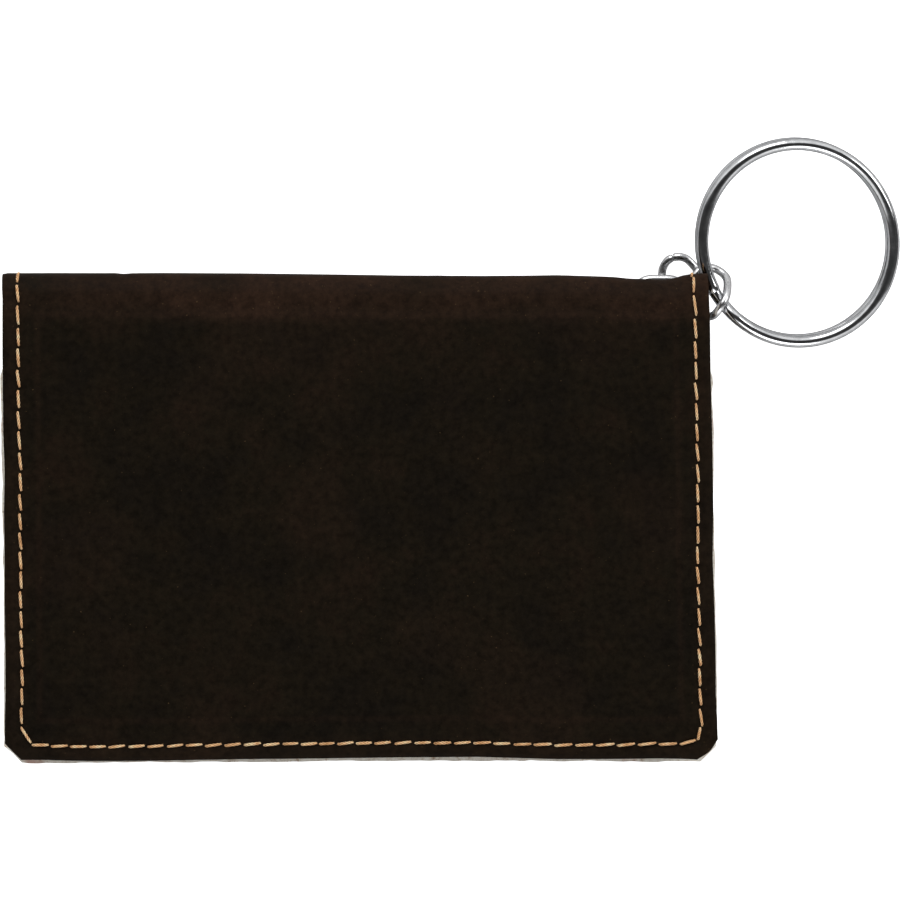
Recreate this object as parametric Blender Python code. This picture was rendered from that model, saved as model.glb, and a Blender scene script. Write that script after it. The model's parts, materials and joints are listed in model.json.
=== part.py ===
"""Keychain identity-card holder: a bifold with a windowed back pocket, a short chain and a split ring.

It lies closed on its back. The fold is on the +Y side, the key ring at the fold's right end (+X), and
+Z points out of the front cover. The pieces are laid out from the fold's left end, and the whole is then
moved so that the origin is on the surface it lies on, under the middle of its outline.
"""

import math

import bmesh
import bpy
import numpy as np
from mathutils import Matrix, Vector

mm = 0.001

# overall size of the front half, and how far the back half stands out past it
front_width = 107.95 * mm
front_depth = 74.0 * mm
side_overhang = 0.6 * mm
bottom_overhang = 0.7 * mm
left_corner_cut = 2.2 * mm
right_corner_cut = 3.2 * mm

# layers of each half, from the outside in
cover_thickness = 0.9 * mm
board_thickness = 0.7 * mm
lining_thickness = 0.45 * mm
pocket_thickness = 0.45 * mm
layer_gap = 0.3 * mm
leaf_gap = 0.4 * mm
turned_edge_width = 5.0 * mm

# stiffener board and inner panels
board_side_margin = 5.9 * mm
board_bottom_margin = 6.3 * mm
board_top_margin = 6.2 * mm
board_corner_radius = 1.5 * mm
lining_margin = 0.9 * mm
card_pocket_top = 27.0 * mm
thumb_notch_radius = 9.0 * mm

# identity-card pocket under the back cover
pocket_depth = 5.6 * mm
frame_thickness = 0.9 * mm
frame_top = 15.0 * mm
frame_rim_width = 5.2 * mm
window_side_border = 13.5 * mm
window_bottom_border = 9.5 * mm
window_top_border = 5.5 * mm
window_corner_radius = 4.0 * mm
vinyl_thickness = 0.3 * mm

# fold, as two hinge lines on the outer face of the leatherette
lower_hinge_angle = math.radians(70)
upper_hinge_angle = math.radians(160)
fold_step = math.radians(10)
ring_relief_width = 2.1 * mm

# stitching
thread_radius = 0.28 * mm
stitch_pitch = 2.95 * mm
stitch_margin = 2.3 * mm
stitch_corner_run = 2.1 * mm
stitch_sink = 0.2 * mm
stitch_crown = 0.04 * mm
stitch_hole_share = 0.12
thread_clearance = 0.12 * mm

# how far a cutter runs past what it cuts
overrun = 2.0 * mm

# key tab
tab_width = 3.0 * mm
tab_ply = 0.3 * mm
tab_bore_clearance = 0.15 * mm
tab_floor_clearance = 0.05 * mm
tab_sewn_end = 14.2 * mm
tab_sewn_start = 10.6 * mm

# chain links, bent from one wire each and sprung a little out of flat
link_wire = 1.3 * mm
link_length = 9.2 * mm
link_width = 6.6 * mm
link_butt_gap = 0.14 * mm
link_end_points = 13
link_gap_shares = (0.2, 0.62, 0.5)

# split ring
ring_wire = 1.9 * mm
ring_mean_radius = 14.9 * mm
ring_turn_gap = 0.12 * mm
ring_crossover = math.radians(20)
ring_end_cutback = math.radians(2)
ring_points_per_turn = 56
ring_crossover_points = 9

# where the chain lies: the first link's sewn-in side is set from the fold's right end, the other links
# and the ring's nearest point from there, and each piece has its own lean and heading
link_1_inset = 7.95 * mm
link_1_setback = 5.2 * mm
link_2_place_shares = (0.43391, 0.5463, 0.07587)
link_3_place_shares = (0.87098, 0.3338, 0.19696)
ring_rim_place_shares = (0.88743, 0.38944, 0.24535)
ring_rim_heading = math.radians(-151)
link_1_slopes = (-0.064, 0.358)
link_2_slopes = (-0.069, -0.405)
link_3_slopes = (0.434, -0.273)
ring_slopes = (-0.063, 0.19)
link_2_heading = math.radians(-40.9)
link_3_heading = math.radians(93.7)
link_1_twist = math.radians(1.9)
link_2_twist = math.radians(-96.8)
link_3_twist = math.radians(95.6)
ring_crossover_heading = math.radians(-138)

# sizes that follow from those above
leaf_thickness = (cover_thickness + board_thickness + lining_thickness + pocket_thickness
                  + 3 * layer_gap)
fold_radius = leaf_thickness + leaf_gap / 2
fold_height = pocket_depth + fold_radius
top_height = pocket_depth + 2 * fold_radius
rim_height = cover_thickness + layer_gap + board_thickness
groove_radius = thread_radius + (stitch_sink + stitch_crown) / 2 + thread_clearance
half_link_gap = layer_gap / 2 / fold_radius


def collection(name):
    made = bpy.data.collections.new(name)
    bpy.context.scene.collection.children.link(made)
    return made


def material(name, colour, roughness, metallic=0.0):
    made = bpy.data.materials.new(name)
    made.use_nodes = True
    shader = made.node_tree.nodes["Principled BSDF"]
    shader.inputs["Base Color"].default_value = (*colour, 1.0)
    shader.inputs["Roughness"].default_value = roughness
    shader.inputs["Metallic"].default_value = metallic
    return made


def curve_object(name, splines, flat):
    data = bpy.data.curves.new(name, "CURVE")
    data.dimensions = "2D" if flat else "3D"
    for points, closed in splines:
        spline = data.splines.new("POLY")
        spline.points.add(len(points) - 1)
        for point, place in zip(spline.points, points):
            point.co = (*place, 0.0, 1.0) if flat else (*place, 1.0)
        spline.use_cyclic_u = closed
    made = bpy.data.objects.new(name, data)
    bpy.context.scene.collection.objects.link(made)
    return made


def as_mesh(curve, placed=None):
    """The curve's welded mesh as an object of the same name; the curve goes."""
    if placed is not None:
        curve.matrix_world = placed
    bpy.context.view_layer.update()
    evaluated = curve.evaluated_get(bpy.context.evaluated_depsgraph_get())
    mesh = bpy.data.meshes.new_from_object(evaluated)
    mesh.transform(curve.matrix_world)
    name = curve.name
    bpy.data.objects.remove(curve)
    welded = bmesh.new()
    welded.from_mesh(mesh)
    bmesh.ops.remove_doubles(welded, verts=welded.verts, dist=0.001 * mm)
    welded.to_mesh(mesh)
    welded.free()
    mesh.name = name
    return bpy.data.objects.new(name, mesh)


def plate(name, outline, low, high, holes=()):
    """A flat panel: the outline (and holes) in X and Y, filled from low to high."""
    curve = curve_object(name, [(outline, True)] + [(hole, True) for hole in holes], True)
    curve.data.fill_mode = "BOTH"
    curve.data.extrude = (high - low) / 2
    return as_mesh(curve, Matrix.Translation((0, 0, (low + high) / 2)))


def bar(name, profile, left, right, holes=()):
    """A profile in Y and Z, drawn out along X from left to right."""
    curve = curve_object(name, [(profile, True)] + [(hole, True) for hole in holes], True)
    curve.data.fill_mode = "BOTH"
    curve.data.extrude = (right - left) / 2
    turn = Matrix(((0, 0, 1, (left + right) / 2), (1, 0, 0, 0), (0, 1, 0, 0), (0, 0, 0, 1)))
    return as_mesh(curve, turn)


def tube(name, points, radius, resolution=1):
    curve = curve_object(name, [(points, False)], False)
    curve.data.bevel_depth = radius
    curve.data.bevel_resolution = resolution
    curve.data.use_fill_caps = True
    return as_mesh(curve)


def add_part(piece, paint, parent=None):
    parts.objects.link(piece)
    piece.data.materials.clear()
    piece.data.materials.append(paint)
    if parent is not None:
        piece.parent = parent
        piece.matrix_parent_inverse = parent.matrix_world.inverted()
    return piece


def add_cutter(piece):
    cutters.objects.link(piece)
    piece.parent = back_leaf
    piece.hide_render = True
    piece.display_type = "WIRE"
    return piece


def boolean(piece, other, operation):
    change = piece.modifiers.new(other.name, "BOOLEAN")
    change.operation = operation
    change.solver = "EXACT"
    change.object = add_cutter(other)


def smooth(piece, angle=math.radians(35)):
    piece.data.shade_smooth()
    piece.data.set_sharp_from_angle(angle=angle)


def pivot(name, place, parent=None):
    made = bpy.data.objects.new(name, None)
    made.empty_display_size = link_wire
    made.location = place
    parts.objects.link(made)
    if parent is not None:
        made.parent = parent
        made.matrix_parent_inverse = parent.matrix_world.inverted()
    bpy.context.view_layer.update()
    return made


def arc(centre, radius, start, end, step):
    count = max(2, math.ceil(abs(end - start) / step) + 1)
    return [(centre[0] + radius * math.cos(angle), centre[1] + radius * math.sin(angle))
            for angle in np.linspace(start, end, count)]


def cut_rectangle(left, right, bottom, top, left_cut, right_cut):
    """A panel with its two bottom corners cut off."""
    return [(left, top), (left, bottom + left_cut), (left + left_cut, bottom),
            (right - right_cut, bottom), (right, bottom + right_cut), (right, top)]


def round_rectangle(left, right, bottom, top, radius):
    corners = ((right - radius, top - radius, 0), (left + radius, top - radius, 1),
               (left + radius, bottom + radius, 2), (right - radius, bottom + radius, 3))
    points = []
    for x, y, quarter in corners:
        start = quarter * math.pi / 2
        points += arc((x, y), radius, start, start + math.pi / 2, math.radians(22.5))
    return points


def fold_point(radius, angle):
    """A point of the fold: angle 0 at the back cover, 180 degrees at the front cover."""
    return (-fold_radius + radius * math.sin(angle), fold_height - radius * math.cos(angle))


def fold_band(outer, inner, start, end):
    count = math.ceil((end - start) / fold_step) + 1
    angles = np.linspace(start, end, count)
    return ([fold_point(outer, angle) for angle in angles]
            + [fold_point(inner, angle) for angle in reversed(angles)])


def seam_line(left, right, bottom, top):
    """The seam's route seen from above: down the left side, along the bottom, up the right."""
    return [Vector((left, top)), Vector((left, bottom + stitch_corner_run)),
            Vector((left + stitch_corner_run, bottom)), Vector((right - stitch_corner_run, bottom)),
            Vector((right, bottom + stitch_corner_run)), Vector((right, top))]


def stitched(corners, height, outward):
    """Thread points: each stitch lies on the surface and dips into its holes between."""
    points = []
    for start, end in zip(corners, corners[1:]):
        run = end - start
        count = max(1, round(run.length / stitch_pitch))
        for index in range(count):
            for share, depth in ((0.0, -stitch_sink), (stitch_hole_share, stitch_crown),
                                 (1 - stitch_hole_share, stitch_crown)):
                place = start + run * ((index + share) / count)
                points.append((place.x, place.y, height(place.y) + outward * depth))
    last = corners[-1]
    points.append((last.x, last.y, height(last.y) - outward * stitch_sink))
    return points


def groove_points(corners, height, step):
    points = []
    for start, end in zip(corners, corners[1:]):
        run = end - start
        count = max(1, round(run.length / step))
        for index in range(count):
            place = start + run * (index / count)
            points.append((place.x, place.y, height(place.y)))
    last = corners[-1]
    points.append((last.x, last.y, height(last.y)))
    return points


def front_surface(y):
    inside = min(max(y + fold_radius, 0.0), fold_radius)
    return fold_height + math.sqrt(fold_radius ** 2 - inside ** 2)


def leaf_sheet(name, left, right, bottom, outer, inner, edge_angle, flat_angle):
    """A sheet that lies flat from the bottom edge and runs on round its share of the fold.

    outer and inner are its two faces' distances from the middle of the fold.
    """
    count = max(2, math.ceil(abs(edge_angle - flat_angle) / fold_step) + 1)
    angles = np.linspace(flat_angle, edge_angle, count)
    side = -math.cos(flat_angle)
    profile = ([(bottom, fold_height + side * outer)] + [fold_point(outer, angle) for angle in angles]
               + [fold_point(inner, angle) for angle in reversed(angles)]
               + [(bottom, fold_height + side * inner)])
    return bar(name, profile, left, right)


def cut_corners(piece, left, right, bottom):
    for side, corner, direction, cut in (("left", left, 1, left_corner_cut),
                                         ("right", right, -1, right_corner_cut)):
        wedge = [(corner - direction * overrun, bottom - overrun),
                 (corner + direction * (cut + overrun), bottom - overrun),
                 (corner - direction * overrun, bottom + cut + overrun)]
        cutter = plate(piece.name + " corner cut " + side, wedge, -overrun, top_height + overrun)
        boolean(piece, cutter, "DIFFERENCE")


def build_leaf_cover(name, left, right, bottom, edge_angle, flat_angle):
    """Leatherette cover: a sheet with turned-in edges that make a rim round three sides."""
    inner = fold_radius - cover_thickness
    cover = leaf_sheet(name, left, right, bottom, fold_radius, inner, edge_angle, flat_angle)
    top = -fold_radius - layer_gap
    rim = [(left, top), (left, bottom), (right, bottom), (right, top),
           (right - turned_edge_width, top),
           (right - turned_edge_width, bottom + turned_edge_width),
           (left + turned_edge_width, bottom + turned_edge_width),
           (left + turned_edge_width, top)]
    side = -math.cos(flat_angle)
    faces = sorted((fold_height + side * (inner + cover_thickness / 2),
                    fold_height + side * (fold_radius - rim_height)))
    boolean(cover, plate(name + " turned edge", rim, *faces), "UNION")
    cut_corners(cover, left, right, bottom)
    return cover


for old in list(bpy.data.objects):
    bpy.data.objects.remove(old)
parts = collection("keychain id holder")
cutters = collection("cutters")

leatherette = material("dark brown leatherette", (0.0110, 0.0065, 0.0042), 0.55)
raw_edge = material("leatherette, turned edge", (0.0130, 0.0072, 0.0045), 0.6)
lining_cloth = material("brown lining cloth", (0.030, 0.016, 0.010), 0.85)
grey_board = material("grey board", (0.32, 0.29, 0.25), 0.9)
clear_vinyl = material("clear vinyl", (0.80, 0.83, 0.84), 0.12)
tan_thread = material("tan thread", (0.69, 0.42, 0.20), 0.7)
chrome = material("chrome-plated wire", (0.78, 0.78, 0.78), 0.12, 1.0)


# seam routes, shared by the thread and the groove it lies in
seam_left = stitch_margin
seam_right = front_width - stitch_margin
seam_bottom = -front_depth + stitch_margin
back_left = -side_overhang
back_right = front_width + side_overhang
back_bottom = -front_depth - bottom_overhang
corner_cuts = (left_corner_cut, right_corner_cut)
body_gap = half_link_gap
front_start = upper_hinge_angle + body_gap
fold_start = lower_hinge_angle + body_gap
fold_end = upper_hinge_angle - body_gap
back_end = lower_hinge_angle - body_gap

back_leaf = pivot("back_leaf", (0, 0, 0))
lower_hinge = pivot("lower_fold_hinge", (front_width / 2, *fold_point(fold_radius, lower_hinge_angle)),
                    back_leaf)
upper_hinge = pivot("upper_fold_hinge", (front_width / 2, *fold_point(fold_radius, upper_hinge_angle)),
                    lower_hinge)


def build_thread(name, points, parent):
    thread = tube(name, points, thread_radius)
    smooth(thread)
    return add_part(thread, tan_thread, parent)


def cut_groove(piece, name, points):
    groove = tube(name, points, groove_radius, 2)
    boolean(piece, groove, "DIFFERENCE")


def build_board(name, low, parent):
    outline = round_rectangle(board_side_margin, front_width - board_side_margin,
                              -front_depth + board_bottom_margin, -board_top_margin, board_corner_radius)
    return add_part(plate(name, outline, low, low + board_thickness), grey_board, parent)


def build_lining(name, edge_angle, flat_angle, parent):
    """Flat lining with its share of the fold, which runs round at the same depth."""
    left, right, bottom = lining_margin, front_width - lining_margin, -front_depth + lining_margin
    lining = leaf_sheet(name, left, right, bottom, lining_radius, lining_radius - lining_thickness,
                        edge_angle, flat_angle)
    cut_corners(lining, left, right, bottom)
    return add_part(lining, lining_cloth, parent)


def build_card_pocket(name, low, parent):
    left, right = lining_margin, front_width - lining_margin
    bottom = -front_depth + lining_margin
    outline = cut_rectangle(left, right, bottom, -card_pocket_top, *corner_cuts)
    notch = arc((front_width / 2, -card_pocket_top), thumb_notch_radius, 0, -math.pi, math.radians(15))
    return add_part(plate(name, outline + notch, low, low + pocket_thickness), raw_edge, parent)


lining_radius = fold_radius - cover_thickness - board_thickness - 2 * layer_gap
lining_half_gap = layer_gap / 2 / (lining_radius - lining_thickness)
seam = seam_line(seam_left, seam_right, seam_bottom, fold_point(fold_radius, front_start)[0] - thread_radius)


def build_front():
    low = top_height - cover_thickness
    cover = build_leaf_cover("front_cover", 0.0, front_width, -front_depth, front_start, math.pi)
    cut_groove(cover, "front groove", groove_points(
        [seam[0] + Vector((0, 2 * groove_radius))] + seam[1:-1] + [seam[-1] + Vector((0, 2 * groove_radius))],
        front_surface, 4 * stitch_pitch))
    add_part(cover, leatherette, upper_hinge)
    build_thread("front_stitching", stitched(seam, front_surface, 1), upper_hinge)
    board_low = low - layer_gap - board_thickness
    build_board("front_board", board_low, upper_hinge)
    lining_low = board_low - layer_gap - lining_thickness
    build_lining("front_lining", upper_hinge_angle + lining_half_gap, math.pi, upper_hinge)
    build_card_pocket("front_card_pocket", lining_low - layer_gap - pocket_thickness, upper_hinge)


def build_fold():
    cover = bar("spine_cover", fold_band(fold_radius, fold_radius - cover_thickness, fold_start, fold_end),
                0.0, front_width)
    for side, x in (("left", seam_left), ("right", seam_right)):
        angles = np.linspace(fold_start, fold_end, 2 * round((fold_end - fold_start) / fold_step) + 1)
        reach = thread_radius / fold_radius
        run = [(x, *fold_point(fold_radius, angle)) for angle in angles]
        first = (x, *fold_point(fold_radius, fold_start - 2 * reach))
        last = (x, *fold_point(fold_radius, fold_end + 2 * reach))
        cut_groove(cover, "fold groove " + side, [first] + run + [last])
        start, end = fold_start + reach, fold_end - reach
        count = max(1, round(fold_radius * (end - start) / stitch_pitch))
        points = []
        for index in range(count):
            for share in (0.0, stitch_hole_share, 0.5, 1 - stitch_hole_share):
                depth = -stitch_sink if share == 0 else stitch_crown
                angle = start + (end - start) * (index + share) / count
                points.append((x, *fold_point(fold_radius + depth, angle)))
        points.append((x, *fold_point(fold_radius - stitch_sink, end)))
        build_thread("spine_stitching_" + side, points, lower_hinge)
    add_part(cover, leatherette, lower_hinge)
    lining = bar("spine_lining", fold_band(lining_radius, lining_radius - lining_thickness,
                                           lower_hinge_angle + lining_half_gap,
                                           upper_hinge_angle - lining_half_gap),
                 lining_margin, front_width - lining_margin)
    add_part(lining, lining_cloth, lower_hinge)


def build_back():
    low = pocket_depth
    cover = build_leaf_cover("back_cover", back_left, back_right, back_bottom, back_end, 0.0)
    relief_left, relief_right = front_width - ring_relief_width, back_right + overrun
    relief_start, relief_end = -fold_radius - layer_gap, overrun
    relief = plate("ring relief", [(relief_left, relief_start), (relief_right, relief_start),
                                   (relief_right, relief_end), (relief_left, relief_end)],
                   low - overrun, fold_height)
    boolean(cover, relief, "DIFFERENCE")
    for side, x in (("left", seam_left), ("right", seam_right)):
        top = Vector((x, -fold_radius - thread_radius))
        end = Vector((x, -frame_top + layer_gap + thread_radius))
        cut_groove(cover, "back groove " + side,
                   [(x, top.y, low), (x, end.y - groove_radius, low)])
        build_thread("back_stitching_" + side, stitched([top, end], lambda y: low, -1), back_leaf)
    add_part(cover, leatherette, back_leaf)
    board_low = low + cover_thickness + layer_gap
    build_board("back_board", board_low, back_leaf)
    lining_low = board_low + board_thickness + layer_gap
    build_lining("back_lining", lower_hinge_angle - lining_half_gap, 0.0, back_leaf)
    build_card_pocket("back_card_pocket", lining_low + lining_thickness + layer_gap, back_leaf)


def build_window_pocket():
    outline = cut_rectangle(back_left, back_right, back_bottom, -frame_top, *corner_cuts)
    window = round_rectangle(window_side_border, front_width - window_side_border,
                             -front_depth + window_bottom_border, -frame_top - window_top_border,
                             window_corner_radius)
    frame = plate("id_frame", outline, 0.0, frame_thickness, [window])
    rim_left, rim_right = back_left + frame_rim_width, back_right - frame_rim_width
    rim_bottom = back_bottom + frame_rim_width
    rim = outline + [(rim_right, -frame_top), (rim_right, rim_bottom), (rim_left, rim_bottom),
                     (rim_left, -frame_top)]
    boolean(frame, plate("id_frame turned edge", rim, frame_thickness / 2, pocket_depth - layer_gap), "UNION")
    height = thread_radius + stitch_crown + tab_floor_clearance
    top = -frame_top - layer_gap
    route = seam_line(seam_left, seam_right, seam_bottom, top)
    opened = [route[0] + Vector((0, 2 * groove_radius))] + route[1:-1] + [
        route[-1] + Vector((0, 2 * groove_radius))]
    cut_groove(frame, "frame groove", groove_points(opened, lambda y: height, 4 * stitch_pitch))
    add_part(frame, raw_edge, back_leaf)
    build_thread("id_frame_stitching", stitched(route, lambda y: height, -1), back_leaf)
    vinyl = [(rim_left + layer_gap, -frame_top - layer_gap), (rim_left + layer_gap, rim_bottom + layer_gap),
             (rim_right - layer_gap, rim_bottom + layer_gap), (rim_right - layer_gap, -frame_top - layer_gap)]
    low = frame_thickness + layer_gap
    add_part(plate("id_window", vinyl, low, low + vinyl_thickness), clear_vinyl, back_leaf)


def build_key_tab():
    """A strip folded round the first link's wire, its two ends sewn flat to the back cover."""
    x, y = front_width - link_1_inset, -link_1_setback
    bore = link_wire / 2 + tab_bore_clearance
    outer = bore + tab_ply
    centre = Vector((y, outer + tab_floor_clearance))
    sewn = pocket_depth - layer_gap - tab_ply
    leave = math.radians(140)
    start = Vector((-tab_sewn_start, sewn))
    end = centre + outer * Vector((math.cos(leave), math.sin(leave)))
    pull = (end - start).length * 0.45
    controls = (start, start + Vector((pull, 0)),
                end + pull * Vector((math.cos(leave), math.sin(leave))), end)
    middle = [Vector((-tab_sewn_end, sewn))]
    for share in np.linspace(0, 1, 8)[:-1]:
        share = float(share)
        rest = 1 - share
        middle.append(rest ** 3 * controls[0] + 3 * rest ** 2 * share * controls[1]
                      + 3 * rest * share ** 2 * controls[2] + share ** 3 * controls[3])
    upper, lower = [], []
    for index, point in enumerate(middle):
        ahead = middle[min(index + 1, len(middle) - 1)]
        behind = middle[max(index - 1, 0)]
        along = (ahead - behind).normalized()
        side = Vector((-along.y, along.x)) * tab_ply
        upper.append(tuple(point + side))
        lower.append(tuple(point - side))
    half = math.asin(tab_ply / outer)
    loop = arc(centre, outer, leave - half, leave + half - 2 * math.pi, math.radians(20))
    bore_line = arc(centre, bore, 0, 2 * math.pi, math.radians(22.5))[:-1]
    tab = bar("key_tab", upper + loop + lower[::-1], x - tab_width / 2, x + tab_width / 2, [bore_line])
    face = sewn - tab_ply
    ends = [Vector((x, -tab_sewn_end + layer_gap)), Vector((x, -tab_sewn_start))]
    height = face - thread_radius / 2
    groove = [(x, ends[0].y - groove_radius, height), (x, ends[1].y + groove_radius, height)]
    cut_groove(tab, "tab groove", groove)
    add_part(tab, raw_edge, back_leaf)
    build_thread("tab_stitching", stitched(ends, lambda y: height, -1), back_leaf)


def lean(heading, slopes):
    """Axes of a piece that heads one way seen from above and whose plane has these slopes."""
    normal = Vector((-slopes[0], -slopes[1], 1)).normalized()
    across = math.cos(heading) * slopes[0] + math.sin(heading) * slopes[1]
    along = Vector((math.cos(heading), math.sin(heading), across)).normalized()
    side = normal.cross(along)
    return Matrix((along, side, normal)).transposed()


def link_path(twist, gap_share):
    """An oval of wire, open by the butt gap, each cross line turned in step with its place."""
    straight = (link_length - link_width) / 2
    radius = (link_width - link_wire) / 2
    oval = ([(straight + radius * math.cos(a), radius * math.sin(a))
             for a in np.linspace(-math.pi / 2, math.pi / 2, link_end_points)]
            + [(-straight - radius * math.cos(a), radius * math.sin(a))
               for a in np.linspace(math.pi / 2, -math.pi / 2, link_end_points)])
    closed = oval + [oval[0]]
    reach = np.cumsum([0] + [math.dist(a, b) for a, b in zip(closed, closed[1:])])
    total = reach[-1]
    start = gap_share * total + link_butt_gap / 2
    finish = start + total - link_butt_gap
    stops = [start] + sorted(s + turn * total for s in reach[:-1] for turn in (0, 1)
                             if start + link_wire / 8 < s + turn * total < finish - link_wire / 8) + [finish]
    points = []
    for stop in stops:
        p = np.interp(stop % total, reach, [point[0] for point in closed])
        q = np.interp(stop % total, reach, [point[1] for point in closed])
        turn = twist * p / link_length
        points.append(Vector((p, q * math.cos(turn), q * math.sin(turn))))
    return points


def ring_path():
    """Two turns of wire: the lower one climbs to the upper one in the crossover."""
    pitch = ring_wire + ring_turn_gap
    start = ring_crossover_heading + ring_crossover / 2
    total = 4 * math.pi - ring_crossover - ring_end_cutback
    stops = list(np.linspace(0, 2 * math.pi - ring_crossover, ring_points_per_turn))
    stops += list(np.linspace(2 * math.pi - ring_crossover, 2 * math.pi, ring_crossover_points))[1:-1]
    stops += list(np.linspace(2 * math.pi, total, ring_points_per_turn))
    points = []
    for stop in stops:
        climb = (stop - 2 * math.pi + ring_crossover) / ring_crossover
        climb = min(max(climb, 0.0), 1.0)
        rise = pitch * (1 - math.cos(math.pi * climb)) / 2
        points.append(Vector((ring_mean_radius * math.cos(start + stop),
                              ring_mean_radius * math.sin(start + stop), rise)))
    return points


def dense(points):
    places = [np.array(point) for point in points]
    filled = []
    for a, b in zip(places, places[1:]):
        filled += [a + (b - a) * share for share in np.linspace(0, 1, 9)[:-1]]
    return np.array(filled + [places[-1]])


def least_gap(first, second, radii):
    """Least gap between two wires, from points set close along both."""
    a, b = dense(first), dense(second)
    return float(np.linalg.norm(a[:, None, :] - b[None, :, :], axis=2).min()) - radii


def crossings(first, second):
    """The two places where the wires cross when seen from above, each midway between them."""
    a, b = dense(first), dense(second)
    apart = np.linalg.norm(a[:, None, :2] - b[None, :, :2], axis=2)
    found = []
    for _ in range(2):
        i, j = np.unravel_index(apart.argmin(), apart.shape)
        found.append(Vector((a[i] + b[j]) / 2))
        apart[np.linalg.norm((a - a[i])[:, :2], axis=1) < 1.5 * link_wire] = np.inf
    return found


def build_chain():
    bore_height = link_wire / 2 + tab_bore_clearance + tab_ply + tab_floor_clearance
    near_side = Vector((0, (link_width - link_wire) / 2, 0))
    held = Vector((front_width - link_1_inset, -link_1_setback, bore_height))
    first = [lean(0.0, link_1_slopes) @ (point + near_side) + held
             for point in link_path(link_1_twist, link_gap_shares[0])]
    second = [lean(link_2_heading, link_2_slopes) @ point + held + link_length * Vector(link_2_place_shares)
              for point in link_path(link_2_twist, link_gap_shares[1])]
    third = [lean(link_3_heading, link_3_slopes) @ point + held + link_length * Vector(link_3_place_shares)
             for point in link_path(link_3_twist, link_gap_shares[2])]
    turn = lean(0.0, ring_slopes)
    rim = turn @ Vector((math.cos(ring_rim_heading), math.sin(ring_rim_heading), 0)) * ring_mean_radius
    ring = [turn @ point + held + link_length * Vector(ring_rim_place_shares) - rim for point in ring_path()]
    wires = (("chain_link_1", first, link_wire), ("chain_link_2", second, link_wire),
             ("chain_link_3", third, link_wire), ("split_ring", ring, ring_wire))
    hinges = [(held, Vector((-1, 0, 0)))]
    for (name, path, wire), (next_name, next_path, next_wire) in zip(wires, wires[1:]):
        one, other = crossings(path, next_path)
        hinges.append(((one + other) / 2, (other - one).normalized()))
        gap = least_gap(path, next_path, (wire + next_wire) / 2)
        print("least gap of", name, "to", next_name, "mm", round(gap / mm, 3))
    parent = back_leaf
    for (name, path, wire), (place, axis) in zip(wires, hinges):
        parent = pivot(name + "_pivot", place, parent)
        piece = tube(name, path, wire / 2, 2)
        smooth(piece, math.radians(60))
        add_part(piece, chrome, parent)
        print(name, "hinge axis", [round(value, 5) for value in axis],
              "lowest mm", round((min(point.z for point in path) - wire / 2) / mm, 3))


def set_origin():
    """Puts the origin under the middle of the whole outline, at the height of its lowest point."""
    places = [vertex.co for piece in parts.objects if piece.type == "MESH" for vertex in piece.data.vertices]
    low = [min(place[axis] for place in places) for axis in range(3)]
    high = [max(place[axis] for place in places) for axis in range(3)]
    back_leaf.location = (-(low[0] + high[0]) / 2, -(low[1] + high[1]) / 2, -low[2])
    bpy.context.view_layer.update()
    for piece in parts.objects:
        if piece.type == "EMPTY":
            print(piece.name, "at m", [round(value, 6) for value in piece.matrix_world.translation])


build_front()
build_fold()
build_back()
build_window_pocket()
build_key_tab()
build_chain()
set_origin()
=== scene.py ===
import json
import math
import random

import bmesh
import bpy
import numpy as np
from mathutils import Matrix, Vector, noise

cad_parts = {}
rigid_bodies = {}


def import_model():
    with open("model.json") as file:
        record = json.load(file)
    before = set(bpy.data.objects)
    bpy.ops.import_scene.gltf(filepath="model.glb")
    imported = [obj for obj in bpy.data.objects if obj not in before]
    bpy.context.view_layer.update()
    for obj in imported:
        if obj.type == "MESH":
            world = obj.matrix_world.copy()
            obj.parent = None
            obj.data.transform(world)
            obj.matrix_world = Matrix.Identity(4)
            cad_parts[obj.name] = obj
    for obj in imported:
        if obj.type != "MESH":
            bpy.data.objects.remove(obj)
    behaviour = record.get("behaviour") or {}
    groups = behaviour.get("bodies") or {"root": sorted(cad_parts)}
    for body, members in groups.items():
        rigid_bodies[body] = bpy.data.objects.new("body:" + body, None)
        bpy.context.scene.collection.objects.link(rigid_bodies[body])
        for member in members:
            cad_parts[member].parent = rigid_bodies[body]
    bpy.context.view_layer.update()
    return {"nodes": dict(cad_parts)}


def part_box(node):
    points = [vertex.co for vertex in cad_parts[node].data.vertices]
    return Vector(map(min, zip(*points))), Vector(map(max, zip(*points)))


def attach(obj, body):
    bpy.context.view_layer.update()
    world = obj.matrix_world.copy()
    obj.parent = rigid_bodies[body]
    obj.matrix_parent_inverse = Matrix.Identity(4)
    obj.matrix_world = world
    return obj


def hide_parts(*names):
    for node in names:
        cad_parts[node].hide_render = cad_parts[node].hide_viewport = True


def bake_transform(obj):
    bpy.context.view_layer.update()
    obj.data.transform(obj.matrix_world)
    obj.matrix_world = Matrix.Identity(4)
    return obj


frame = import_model()
nodes = frame["nodes"]
mm = 0.001
random.seed(7)

# the holder, in millimetres from the left end of its fold, at table height
holder = {
    "width": 107.95,
    "depth": 74.0,
    "top": 12.8,             # outer face of the front
    "pocket": 5.6,           # outer face of the back
    "foldRadius": 3.6,
    "foldHeight": 9.2,       # middle of the fold
    "sideOverhang": 0.6,     # how far the back stands out past the front
    "bottomOverhang": 0.7,
    "cornerCuts": (2.5, 3.2),
    "backCuts": (2.5, 2.35),
    "tabInset": 7.95,        # from the right edge to the middle of the key tab
}
hair = 0.01                  # mm, closer than this is the same place
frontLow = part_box("front_cover")[0]
origin = Vector((frontLow[0], frontLow[1] + holder["depth"] * mm, 0.0))


def place(x, y, z):
    return origin + Vector((x, y, z)) * mm


def ease(value, low, high):
    share = np.clip((value - low) / (high - low), 0, 1)
    return share * share * (3 - 2 * share)


def bell(value, middle, width):
    return np.exp(-((value - middle) / width) ** 2)


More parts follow.
